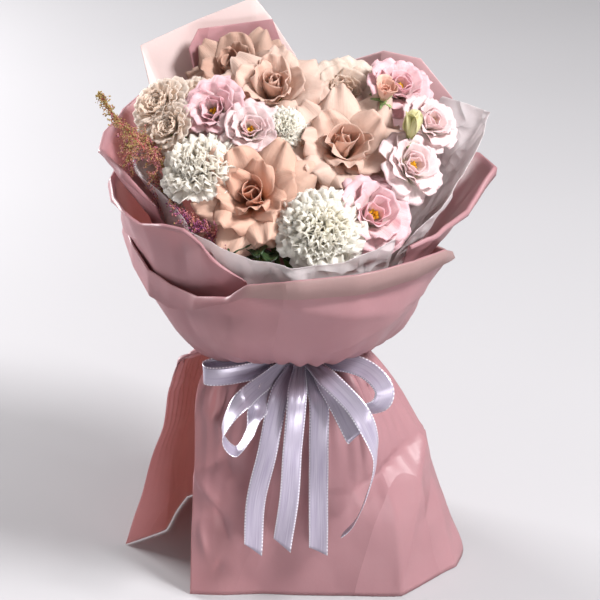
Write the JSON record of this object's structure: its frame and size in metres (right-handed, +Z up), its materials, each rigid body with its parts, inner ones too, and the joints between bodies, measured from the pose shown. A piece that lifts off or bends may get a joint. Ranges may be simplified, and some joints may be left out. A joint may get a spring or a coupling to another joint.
{
  "type": "mixed flower bouquet",
  "caption": "Round-faced bouquet of mixed cut flowers in a collar and skirt of matte film, tied at the waist with a satin ribbon bow.",
  "frame": {"origin": "on the surface that the bouquet stands on, under the binding of the stems", "axes": "+Z up along the central stem, -Y towards the bouquet's front, +X towards the right as seen from the front"},
  "size_m": [0.3828, 0.2954, 0.5611],
  "materials": {
    "rose_petal": "matte, blush to peach petals",
    "cream_rose_petal": "matte, cream petals with blush edges",
    "carnation_petal": "matte, cream white frilled petals",
    "lisianthus_petal": "matte, pink petals with paler middles",
    "bud_green": "matte, yellow green bud",
    "astilbe_floret": "matte, olive gold to mauve florets",
    "stem_green": "satin, green stems",
    "leaf_green": "satin, dark green leaves",
    "wrap_film": "matte dusty rose floral film, slightly translucent",
    "pale_film": "matte pale pink floral film, translucent",
    "tissue": "crinkled translucent white tissue",
    "satin_ribbon": "silvery lilac satin",
    "twine": "natural jute twine"
  },
  "bodies": {
    "root": {"astilbe_lower": "astilbe_floret", "astilbe_upper": "astilbe_floret", "carnation_front": "carnation_petal", "carnation_left": "carnation_petal", "carnation_small": "carnation_petal", "film_back_inner_sheet": "wrap_film", "film_back_pale_sheet": "pale_film", "film_back_right_sheet": "wrap_film", "film_front_sheet": "wrap_film", "film_left_rear_sheet": "wrap_film", "film_left_sheet": "wrap_film", "film_right_sheet": "wrap_film", "garden_rose_top": "cream_rose_petal", "leaf_left": "leaf_green", "leaf_middle": "leaf_green", "leaf_right": "leaf_green", "lisianthus_bud": "bud_green", "lisianthus_front_right": "lisianthus_petal", "lisianthus_left_inner": "lisianthus_petal", "lisianthus_left_outer": "lisianthus_petal", "lisianthus_right": "lisianthus_petal", "lisianthus_side": "lisianthus_petal", "lisianthus_top_right": "lisianthus_petal", "lisianthus_upper_right": "lisianthus_petal", "ribbon_band": "satin_ribbon", "ribbon_knot": "satin_ribbon", "ribbon_loop_left_high": "satin_ribbon", "ribbon_loop_left_low": "satin_ribbon", "ribbon_loop_right_high": "satin_ribbon", "ribbon_loop_right_low": "satin_ribbon", "ribbon_tail_left": "satin_ribbon", "ribbon_tail_long": "satin_ribbon", "ribbon_tail_middle": "satin_ribbon", "ribbon_tail_right": "satin_ribbon", "rose_front_left": "rose_petal", "rose_right": "rose_petal", "rose_top_back": "rose_petal", "rose_top_front": "rose_petal", "skirt_front_sheet": "wrap_film", "skirt_rear_sheet": "wrap_film", "spray_rose_inner": "cream_rose_petal", "spray_rose_lower": "cream_rose_petal", "spray_rose_outer": "cream_rose_petal", "stem_carnation_front": "stem_green", "stem_carnation_left": "stem_green", "stem_carnation_small": "stem_green", "stem_garden_rose_top": "stem_green", "stem_lisianthus_front_right": "stem_green", "stem_lisianthus_left_outer": "stem_green", "stem_lisianthus_right": "stem_green", "stem_lisianthus_top_right": "stem_green", "stem_rose_front_left": "stem_green", "stem_rose_right": "stem_green", "stem_rose_top_back": "stem_green", "stem_rose_top_front": "stem_green", "stem_spray_rose_outer": "stem_green", "tissue_front_sheet": "tissue", "tissue_left_sheet": "tissue", "tissue_right_sheet": "tissue", "twine_binding": "twine"}
  },
  "joints": []
}
